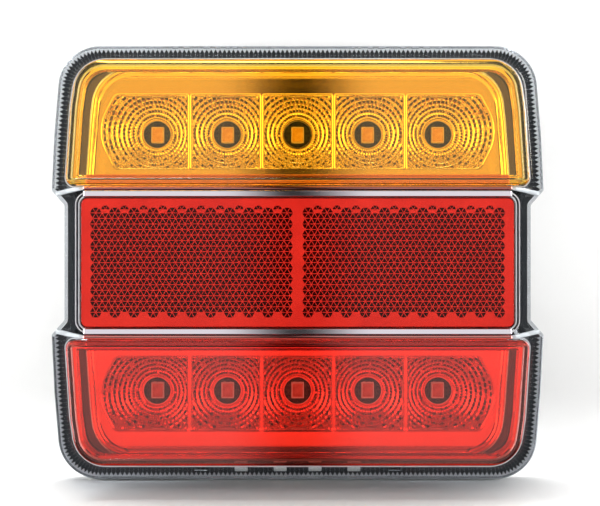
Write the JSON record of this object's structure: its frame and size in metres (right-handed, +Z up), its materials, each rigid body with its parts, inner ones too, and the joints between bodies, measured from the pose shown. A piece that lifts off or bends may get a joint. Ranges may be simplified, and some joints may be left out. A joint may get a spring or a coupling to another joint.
{
  "type": "trailer tail light",
  "caption": "Square trailer tail lamp with amber and red LED lenses, a reflex reflector across its waist, a clear cover and rear fixing studs.",
  "frame": {"origin": "centre of the back mounting face, between the two studs", "axes": "-Y towards the viewer, out of the lenses; +Y along the studs; +Z up, with the amber lens on top; +X to the viewer's right"},
  "size_m": [0.1104, 0.054, 0.0972],
  "materials": {
    "black_plastic": "satin black ABS",
    "clear_plastic": "clear polished acrylic",
    "amber_plastic": "amber transparent acrylic",
    "red_plastic": "red transparent acrylic",
    "metallised": "vacuum metallised plastic",
    "white_plastic": "white moulded plastic",
    "circuit_board": "dark solder mask over glass epoxy",
    "led_package": "white package with a clear window",
    "chip_body": "moulded epoxy",
    "zinc_steel": "bright zinc plate",
    "black_rubber": "moulded rubber"
  },
  "bodies": {
    "lamp": {"amber_led_1": "led_package", "amber_led_2": "led_package", "amber_led_3": "led_package", "amber_led_4": "led_package", "amber_led_5": "led_package", "amber_lens": "amber_plastic", "ballast_resistor_1": "chip_body", "ballast_resistor_2": "chip_body", "ballast_resistor_3": "chip_body", "ballast_resistor_4": "chip_body", "board_screw_1": "zinc_steel", "board_screw_2": "zinc_steel", "board_screw_3": "zinc_steel", "board_screw_4": "zinc_steel", "breather_vent": "black_plastic", "cable_grommet": "black_rubber", "centre_support_frame": "black_plastic", "clear_cover": "clear_plastic", "fixing_stud_left": "zinc_steel", "fixing_stud_right": "zinc_steel", "main_circuit_board": "circuit_board", "number_plate_board": "circuit_board", "number_plate_led_1": "led_package", "number_plate_led_2": "led_package", "number_plate_led_3": "led_package", "number_plate_led_4": "led_package", "protection_diode_1": "chip_body", "protection_diode_2": "chip_body", "rear_housing": "black_plastic", "red_led_1": "led_package", "red_led_2": "led_package", "red_led_3": "led_package", "red_led_4": "led_package", "red_led_5": "led_package", "red_lens": "red_plastic", "reflector_tray_lower": "metallised", "reflector_tray_upper": "metallised", "reflex_backing": "white_plastic", "reflex_panel": "red_plastic", "smoothing_capacitor": "chip_body", "terminal_block": "white_plastic"},
    "washers_left": {"flat_washer_left": "zinc_steel", "spring_washer_left": "zinc_steel"},
    "nut_left": {"fixing_nut_left": "zinc_steel"},
    "washers_right": {"flat_washer_right": "zinc_steel", "spring_washer_right": "zinc_steel"},
    "nut_right": {"fixing_nut_right": "zinc_steel"}
  },
  "joints": [
    {"name": "washer_left_travel", "type": "slide", "parent": "lamp", "child": "washers_left", "axis": [0, 1, 0], "range_m": [0, 0.006]},
    {"name": "nut_left_turn", "type": "hinge", "parent": "washers_left", "child": "nut_left", "pos_m": [-0.026, 0, 0], "axis": [0, 1, 0], "range_deg": [0, 2700]},
    {"name": "washer_right_travel", "type": "slide", "parent": "lamp", "child": "washers_right", "axis": [0, 1, 0], "range_m": [0, 0.006]},
    {"name": "nut_right_turn", "type": "hinge", "parent": "washers_right", "child": "nut_right", "pos_m": [0.026, 0, 0], "axis": [0, 1, 0], "range_deg": [0, 2700]}
  ],
  "couplings": [
    {"joint": "nut_left_turn", "follows": "washer_left_travel", "rad_per_m": 7854},
    {"joint": "nut_right_turn", "follows": "washer_right_travel", "rad_per_m": 7854}
  ]
}
